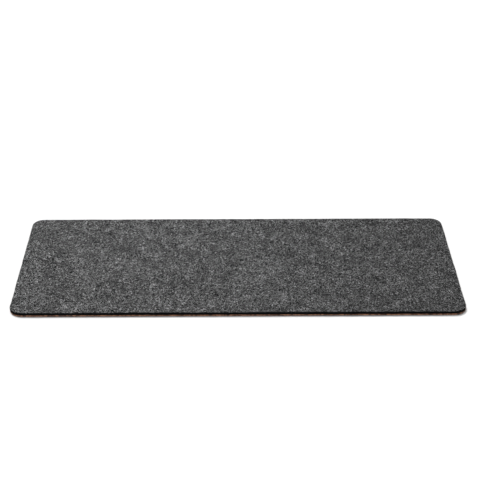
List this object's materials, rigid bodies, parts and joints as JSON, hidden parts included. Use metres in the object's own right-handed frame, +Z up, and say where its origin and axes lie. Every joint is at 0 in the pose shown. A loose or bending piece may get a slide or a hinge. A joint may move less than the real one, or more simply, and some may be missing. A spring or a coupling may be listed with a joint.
{
  "type": "desk mat",
  "caption": "Flat rectangular desk mat with rounded corners: a heathered felt top bonded to a thin cork base, lying flat on a desk under a keyboard.",
  "frame": {"origin": "centre of the underside, on the desk surface", "axes": "+Z up out of the desk, +X to the right along the long side, -Y towards the person at the desk"},
  "size_m": [0.5, 0.21, 0.005],
  "materials": {
    "felt": "needled wool felt, heathered charcoal grey, matt",
    "adhesive": "milky hot-melt film, matt",
    "cork": "fine agglomerated cork, reddish brown, sanded, matt"
  },
  "bodies": {
    "root": {"felt_top": "felt", "bond_film": "adhesive", "cork_base": "cork"}
  },
  "joints": []
}
